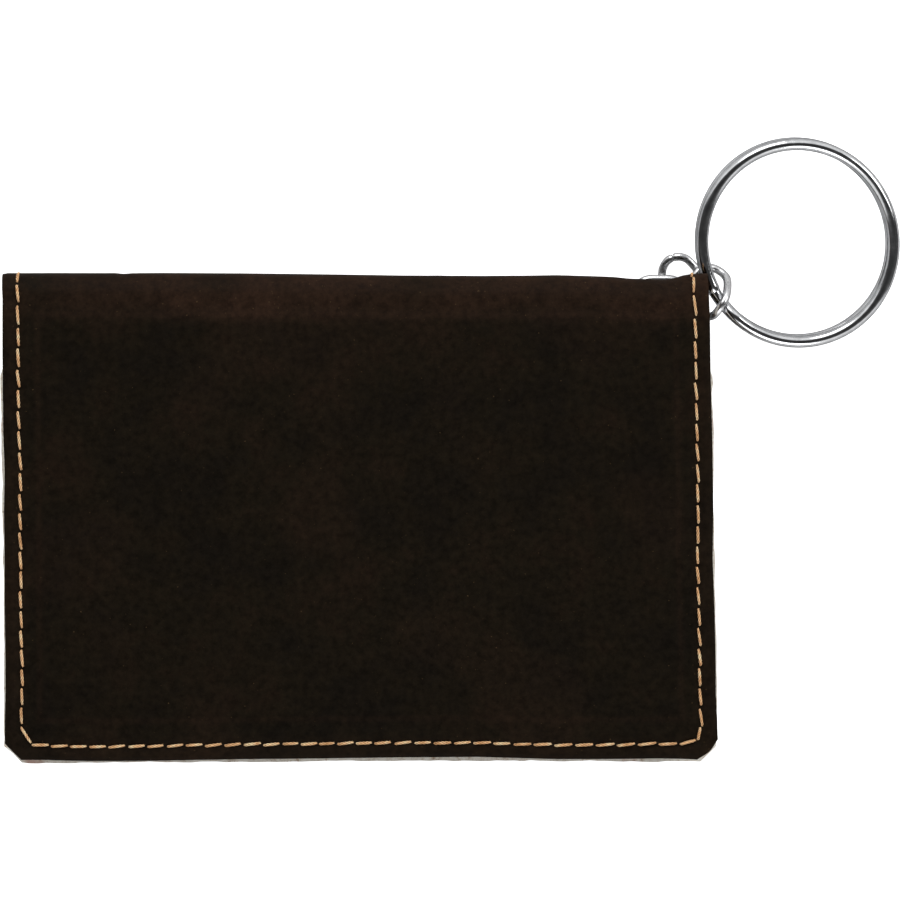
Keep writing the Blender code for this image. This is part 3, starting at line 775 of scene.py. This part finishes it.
# one stitch of three-ply thread, along X, with both ends going down into their holes
stitch = {
    "plyRadius": 0.112,
    "lay": 0.122,            # how far each ply's middle is from the thread's
    "turn": 1.7,             # length of one turn of the twist, mm
    "points": 13,
    "gap": 0.5,              # bare leatherette between two stitches
    "buried": 0.25,          # length that goes into the holes
    "rise": 0.16,            # height of the thread's middle over the surface
    "dive": 0.42,
    "bendFrom": 0.72,        # from this share of the half stitch the thread turns down
    "pinch": 0.42,           # thinner by this share at the holes
    "sway": 2.5,             # what hand work varies: degrees of turn, then place, length and thickness
    "wander": 0.05,
    "lengths": (0.96, 1.03),
    "thicknesses": (0.94, 1.06),
}


def stitchLength():
    return leather["pitch"] - stitch["gap"] + stitch["buried"]


def stitchHeight(share):
    # share runs from -0.5 to 0.5 along the stitch
    end = np.maximum(0.0, (np.abs(2 * share) - stitch["bendFrom"]) / (1 - stitch["bendFrom"]))
    return stitch["rise"] - (stitch["rise"] + stitch["dive"]) * end ** 1.8


def makeStitch():
    length = stitchLength()
    pickOnly()
    plies = []
    for ply in range(3):
        spots = []
        for share in np.arange(stitch["points"]) / (stitch["points"] - 1):
            x = (share - 0.5) * length
            turn = 2 * math.pi * (x / stitch["turn"] + ply / 3)
            pinch = 1 - stitch["pinch"] * abs(2 * share - 1) ** 4
            lay = stitch["lay"] * pinch
            spots.append((x, lay * math.cos(turn), stitchHeight(share - 0.5) + lay * math.sin(turn), pinch))
        plies.append(makeCurve("ply", spots, stitch["plyRadius"], 1))
        plies[-1].select_set(True)
    bpy.context.view_layer.objects.active = plies[0]
    bpy.ops.object.convert(target="MESH")
    bpy.ops.object.join()
    made = bpy.context.object
    made.name = "oneStitch"
    # 0 in the grooves between the plies, 1 on their crowns: the mask of the thread's painted groove shade
    spots = readMesh(made)
    away = np.hypot(spots[:, 1], spots[:, 2] - stitchHeight(spots[:, 0] / length))
    groove, top = stitch["lay"] * 0.95, stitch["lay"] + stitch["plyRadius"] * 0.8
    crown = made.data.attributes.new("crown", "FLOAT", "POINT")
    crown.data.foreach_set("value", ease(away, groove, top))
    return made


def sew(name, pattern, runs, surface, body, replaced, lean):
    # each copy has its own mesh, and surface(u, v, height) gives a place for a point beside the seam
    sway, wander = stitch["sway"], stitch["wander"]
    copies = []
    shape = readMesh(pattern)
    for start, end in runs:
        start, end = np.array(start), np.array(end)
        run = end - start
        length = np.linalg.norm(run)
        turn = math.atan2(run[1], run[0]) + math.radians(lean + random.uniform(-sway, sway))
        scale = length / leather["pitch"] * random.uniform(*stitch["lengths"])
        thick = random.uniform(*stitch["thicknesses"])
        middle = (start + end) / 2
        middle += [random.uniform(-wander, wander), random.uniform(-wander, wander)]
        local = shape * np.array([scale, thick, thick])
        spot = np.column_stack([middle[0] + local[:, 0] * math.cos(turn) - local[:, 1] * math.sin(turn),
                                middle[1] + local[:, 0] * math.sin(turn) + local[:, 1] * math.cos(turn)])
        made = addObject(name, pattern.data.copy())
        writePoints(made, surface(spot[:, 0], spot[:, 1], local[:, 2]))
        copies.append(made)
    pickOnly()
    for made in copies:
        made.select_set(True)
    bpy.context.view_layer.objects.active = copies[0]
    bpy.ops.object.join()
    seam = bpy.context.object
    seam.name = seam.data.name = name
    onlyMaterial(seam, threadTan)
    faceOutward(seam)
    smoothShade(seam, 60)
    if body == "fold":
        foldBlend(seam)
    else:
        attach(seam, body)
    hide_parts(*replaced)


def onFront(u, v, height):
    points = shapeOutline(np.column_stack([u, v, np.zeros(len(u))]))
    fall = cornerSag(u, v)
    points[:, 2] = holder["top"] - leather["seamSink"] - fall + height
    # above the flat sheet v is the length of arc over the fold
    over = np.maximum(0.0, v + holder["foldRadius"])
    curved = onFold(u, 180 - np.degrees(over / holder["foldRadius"]), height)
    curved[:, 2] -= fall
    points[over > 0] = curved[over > 0]
    return points


def onFold(u, v, height):
    # v is the fold's angle in degrees
    angle = np.radians(v)
    radius = holder["foldRadius"] - leather["seamSink"] + height
    points = np.column_stack([u, -holder["foldRadius"] + radius * np.sin(angle),
                              holder["foldHeight"] - radius * np.cos(angle)])
    return shapeOutline(points)


def underside(level):
    # the ends go twice as deep here, and so stay buried where the sheet waves
    def surface(u, v, height):
        return shapeBack(np.column_stack([u, v, level - np.where(height < 0, 2 * height, height)]))
    return surface


def shapeBack(points):
    # everything sewn to the back follows its raw edge, a little inside it
    x, y = points[:, 0].copy(), points[:, 1].copy()
    leftShare, rightShare, bottomShare = edgeShares(x, y, 12, 8)
    points[:, 0] += (along(rawLeft, y) + 0.25) * leftShare
    points[:, 0] += (along(rawRight, y) - 0.2) * rightShare
    points[:, 1] += (along(rawBottom, x) + 0.15) * bottomShare
    return points


def sewFold(name, x, stops, replaced):
    # v runs in millimetres of arc while a stitch is laid out, and turns to degrees on the surface
    arc = math.radians(1) * holder["foldRadius"]
    runs = [((x, a * arc), (x, b * arc)) for a, b in zip(stops, stops[1:])]
    sew(name, oneStitch, runs, lambda u, v, h: onFold(u, v / arc, h), "fold", [replaced], 4)


oneStitch = makeStitch()
sew("frontThread", oneStitch, stitchRuns(frontSeam), onFront, "fold", ["front_stitching"], 5)
sewFold("foldThreadLeft", frontSeam[0][0], (52, 100, 147.6), "spine_stitching_left")
sewFold("foldThreadRight", frontSeam[-1][0], (66, 118, 172.8), "spine_stitching_right")
tabX = holder["width"] - holder["tabInset"]
backSeam = {
    "inset": 2.3,
    "below": -4.0,           # from here down to the window pocket
    "frameTop": -15.3,
    "cornerRun": 2.1,
    "frameLevel": 0.42,
    "tab": ((tabX, -13.9), (tabX, -10.6)),
    "tabFace": 4.66,
}
low = backSeam["inset"] - holder["depth"]
for side, x in (("Left", backSeam["inset"]), ("Right", holder["width"] - backSeam["inset"])):
    sew("backThread" + side, oneStitch, stitchRuns([(x, backSeam["below"]), (x, backSeam["frameTop"] + 1)]),
        underside(holder["pocket"] - 0.06), "back", ["back_stitching_" + side.lower()], 5)
frameSeam = [(backSeam["inset"], backSeam["frameTop"]), (backSeam["inset"], low + backSeam["cornerRun"]),
             (backSeam["inset"] + backSeam["cornerRun"], low)]
frameSeam += [(holder["width"] - x, y) for x, y in frameSeam[::-1]]
sew("idFrameThread", oneStitch, stitchRuns(frameSeam), underside(backSeam["frameLevel"]), "back",
    ["id_frame_stitching"], 5)
sew("tabThread", oneStitch, stitchRuns(backSeam["tab"]), underside(backSeam["tabFace"]), "back",
    ["tab_stitching"], 5)
print("stitching made")

# the window frame and the key tab are the solids' own forms with their turned edges rounded and softened
softened = {
    "frameRound": 0.38,
    "frameCell": 3.2,
    "tabRound": 0.1,
    "tabCell": 0.9,
    "sharpFrom": 50,         # degrees between faces from which an edge is rounded
    "frameSwell": 0.06,
    "seamPull": 0.1,
}


def makeSoftened(name, node, width, cell, body):
    piece = addObject(name, nodes[node].data.copy())
    piece.matrix_world = nodes[node].matrix_world
    settle(piece)
    editMode(piece)
    bpy.ops.mesh.select_all(action="SELECT")
    bpy.ops.mesh.remove_doubles(threshold=0.001 * mm)
    bpy.ops.mesh.dissolve_limited(angle_limit=math.radians(2))
    objectMode()
    bevel = piece.modifiers.new("turned edge", "BEVEL")
    bevel.width = width * mm
    bevel.segments = 3
    bevel.limit_method = "ANGLE"
    bevel.angle_limit = math.radians(softened["sharpFrom"])
    bpy.ops.object.modifier_apply(modifier="turned edge")
    low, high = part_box(node)
    editMode(piece)
    for axis in (0, 1):
        normal = [0, 0, 0]
        normal[axis] = 1
        count = round((high[axis] - low[axis]) / (cell * mm))
        for i in range(1, count):
            spot = list(low)
            spot[axis] = low[axis] + (high[axis] - low[axis]) * i / count
            bpy.ops.mesh.select_all(action="SELECT")
            bpy.ops.mesh.bisect(plane_co=spot, plane_no=normal)
    objectMode()
    faceOutward(piece, 0.002)
    onlyMaterial(piece, innerLeather)
    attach(piece, body)
    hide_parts(node)
    return piece


def makeIdFrame():
    piece = makeSoftened("idFrame", "id_frame", softened["frameRound"], softened["frameCell"], "back")
    points = readPoints(piece)
    outside = points[:, 2] < 1.0
    # the sheet is pulled in a little along its seam, and waves slightly
    away = seamDistance(points[:, 0], points[:, 1], frameSeam)
    shift = softened["seamPull"] * bell(away, 0, 1.6) + softened["frameSwell"] * (1 + waves(points, 15, 21))
    points[:, 2] += np.where(outside, shift, 0)
    writePoints(piece, shapeBack(points))
    smoothShade(piece)


makeIdFrame()
keyTab = makeSoftened("keyTab", "key_tab", softened["tabRound"], softened["tabCell"], "back")
smoothShade(keyTab)
print("window frame and key tab made")

# chain links and split ring: the solids' own routes at a finer step, with the ring pulled out of round
chain = {
    "held": (tabX, -5.2, 1.15),
    "wire": 1.3,
    "drawn": 1.25,           # a hair thinner than the solids' faceted wire, to leave room for the swings
    "length": 9.2,
    "width": 6.6,
    "buttGap": 0.14,
    "bendSteps": 33,
    "steps": 96,
    "pieces": (
        {"name": "chainLink1", "body": "link_1", "node": "chain_link_1", "shares": (0, 0, 0),
         "heading": 0.0, "slopes": (-0.064, 0.358), "twist": 1.9, "gap": 0.2, "hung": True},
        {"name": "chainLink2", "body": "link_2", "node": "chain_link_2",
         "shares": (0.43391, 0.5463, 0.07587), "heading": -40.9, "slopes": (-0.069, -0.405),
         "twist": -96.8, "gap": 0.62, "hung": False},
        {"name": "chainLink3", "body": "link_3", "node": "chain_link_3",
         "shares": (0.87098, 0.3338, 0.19696), "heading": 93.7, "slopes": (0.434, -0.273),
         "twist": 95.6, "gap": 0.5, "hung": False},
    ),
}
keyRing = {
    "wire": 1.9,
    "drawn": 1.84,
    "radius": 14.9,
    # pulled out of round: the even part, then cosine and sine once and twice round
    "bends": (0.15, -0.2, -0.05, -0.2, -0.3),
    "turnGap": 0.12,
    "crossover": 20,
    "crossoverHeading": -138,
    "cutback": 2,
    "rimShares": (0.88743, 0.38944, 0.24535),
    "rimHeading": -151,
    "slopes": (-0.063, 0.19),
    "steps": 420,
}


def lean(heading, slopes):
    normal = Vector((-slopes[0], -slopes[1], 1)).normalized()
    rise = math.cos(heading) * slopes[0] + math.sin(heading) * slopes[1]
    ahead = Vector((math.cos(heading), math.sin(heading), rise)).normalized()
    return Matrix((ahead, normal.cross(ahead), normal)).transposed()


def linkRoute(settings):
    straight = (chain["length"] - chain["width"]) / 2
    radius = (chain["width"] - chain["wire"]) / 2
    bend = np.linspace(-math.pi / 2, math.pi / 2, chain["bendSteps"])
    oval = ([(straight + radius * math.cos(a), radius * math.sin(a)) for a in bend]
            + [(-straight - radius * math.cos(a), radius * math.sin(a)) for a in bend[::-1]])
    closed = np.array(oval + [oval[0]])
    reach = np.concatenate([[0], np.cumsum(np.linalg.norm(np.diff(closed, axis=0), axis=1))])
    total = reach[-1]
    start = settings["gap"] * total + chain["buttGap"] / 2
    held = Vector(chain["held"]) + chain["length"] * Vector(settings["shares"])
    turnTo = lean(math.radians(settings["heading"]), settings["slopes"])
    route = []
    for stop in np.linspace(start, start + total - chain["buttGap"], chain["steps"]):
        p, q = (np.interp(stop % total, reach, closed[:, k]) for k in (0, 1))
        turn = math.radians(settings["twist"]) * p / chain["length"]
        point = Vector((p, q * math.cos(turn), q * math.sin(turn)))
        if settings["hung"]:
            point.y += radius
        route.append(turnTo @ point + held)
    return route


def ringRadius(turn):
    even, cosine, sine, cosineTwice, sineTwice = keyRing["bends"]
    return (keyRing["radius"] + even + cosine * math.cos(turn) + sine * math.sin(turn)
            + cosineTwice * math.cos(2 * turn) + sineTwice * math.sin(2 * turn))


def ringRoute():
    cross = math.radians(keyRing["crossover"])
    start = math.radians(keyRing["crossoverHeading"]) + cross / 2
    pitch = keyRing["wire"] + keyRing["turnGap"]
    turnTo = lean(0.0, keyRing["slopes"])
    heading = math.radians(keyRing["rimHeading"])
    rim = turnTo @ Vector((math.cos(heading), math.sin(heading), 0)) * ringRadius(heading)
    middle = Vector(chain["held"]) + chain["length"] * Vector(keyRing["rimShares"]) - rim
    route = []
    for stop in np.linspace(0, 4 * math.pi - cross - math.radians(keyRing["cutback"]), keyRing["steps"]):
        climb = min(max((stop - 2 * math.pi + cross) / cross, 0.0), 1.0)
        rise = pitch * (1 - math.cos(math.pi * climb)) / 2
        turn = start + stop
        reach = ringRadius(turn)
        route.append(turnTo @ Vector((reach * math.cos(turn), reach * math.sin(turn), rise)) + middle)
    return route


def makeWire(name, route, wire, body, node, sides, finish):
    # drawn wire: round, with its cut ends a little rounded over
    cutEnd = 0.86
    shares = [cutEnd] + [1.0] * (len(route) - 2) + [cutEnd]
    spots = [(*place(*spot), share) for spot, share in zip(route, shares)]
    made = makeCurve(name, spots, wire / 2 * mm, sides)
    pickOnly(made)
    bpy.ops.object.convert(target="MESH")
    faceOutward(made, 0.002)
    smoothShade(made, 50)
    made.data.materials.append(finish)
    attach(made, body)
    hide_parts(node)


for settings in chain["pieces"]:
    makeWire(settings["name"], linkRoute(settings), chain["drawn"], settings["body"], settings["node"], 6,
             nickelWire)
makeWire("keyRing", ringRoute(), keyRing["drawn"], "key_ring", "split_ring", 8, chromeWire)
print("chain and key ring made")

# every solid takes its finish here, also those that a dressed piece replaces
finishes = {
    "id_window": clearVinyl,
    "back_board": greyBoard, "front_board": greyBoard,
    "back_lining": liningCloth, "front_lining": liningCloth, "spine_lining": liningCloth,
    "back_card_pocket": innerLeather, "front_card_pocket": innerLeather,
    "id_frame": innerLeather, "key_tab": innerLeather,
    "front_cover": outerLeather, "spine_cover": outerLeather, "back_cover": outerLeather,
}
for name, node in nodes.items():
    onlyMaterial(node, finishes.get(name, threadTan if "stitching" in name else chromeWire))

bpy.data.objects.remove(oneStitch)

# camera straight above, light all round with a dark patch overhead, and a white floor
studio = {
    "cameraOver": (67.61, -26.68),
    "cameraHeight": 490.0,
    "frameWidth": 136.44,      # millimetres across the picture at the front's face
    "floorSize": 1.6,
    "floorDrop": 0.02,         # millimetres under the holder
    "skyStrength": 1.1,
    "sensor": 36,
    "lamps": (                 # name, place and size in metres, power in watts
        ("topBox", (-0.1, 0.62, 0.5), 0.4, 2.6),
        ("rightBox", (0.62, 0.2, 0.45), 0.3, 1.4),
        ("frontBox", (0.1, -0.6, 0.45), 0.35, 1.4),
    ),
}


def makeStudio():
    pickOnly()
    bpy.ops.mesh.primitive_plane_add(size=studio["floorSize"],
                                     location=(0, 0, -studio["floorDrop"] * mm))
    floor = bpy.context.object
    floor.name = "floor"
    settle(floor)
    floor.data.materials.append(makeFloor())

    world = bpy.data.worlds.new("soft studio")
    bpy.context.scene.world = world
    world.use_nodes = True
    tree = world.node_tree
    back = tree.nodes["Background"]
    where = addNode(tree, "ShaderNodeTexCoord").outputs["Generated"]
    up = addNode(tree, "ShaderNodeSeparateXYZ", links={0: where}).outputs["Z"]
    # white from the top and the bottom of the picture, with a black drape over it from left to right
    drape = addNode(tree, "ShaderNodeMapping", {"Location": (0.0, 0.14, 0), "Scale": (0.55, 1.75, 0)},
                    {"Vector": where}).outputs[0]
    away = addNode(tree, "ShaderNodeVectorMath", {"operation": "LENGTH"}, {0: drape}).outputs["Value"]
    sky = addRamp(tree, away, [(0.0, 0.03), (0.5, 0.05), (0.8, 0.12), (0.96, 1.0)])
    dimmer = addRamp(tree, up, [(0.0, 0.5), (0.12, 0.75), (0.25, 1.0)])
    both = addMix(tree, {"blend_type": "MULTIPLY", 0: 1.0}, {6: sky, 7: dimmer})
    tree.links.new(both, back.inputs["Color"])
    back.inputs["Strength"].default_value = studio["skyStrength"]

    for name, spot, size, power in studio["lamps"]:
        light = bpy.data.lights.new(name, "AREA")
        light.size = size
        light.energy = power
        lamp = addObject(name, light)
        lamp.location = spot
        lamp.rotation_euler = (-Vector(spot)).to_track_quat("-Z", "Y").to_euler()

    lens = bpy.data.cameras.new("camera")
    lens.sensor_width = studio["sensor"]
    lens.lens = studio["sensor"] * (studio["cameraHeight"] - holder["top"]) / studio["frameWidth"]
    lens.clip_start = 0.01
    camera = addObject("camera", lens)
    camera.location = place(*studio["cameraOver"], studio["cameraHeight"])
    bpy.context.scene.camera = camera
    bpy.context.scene.view_settings.view_transform = "Standard"


makeStudio()
print("studio made")
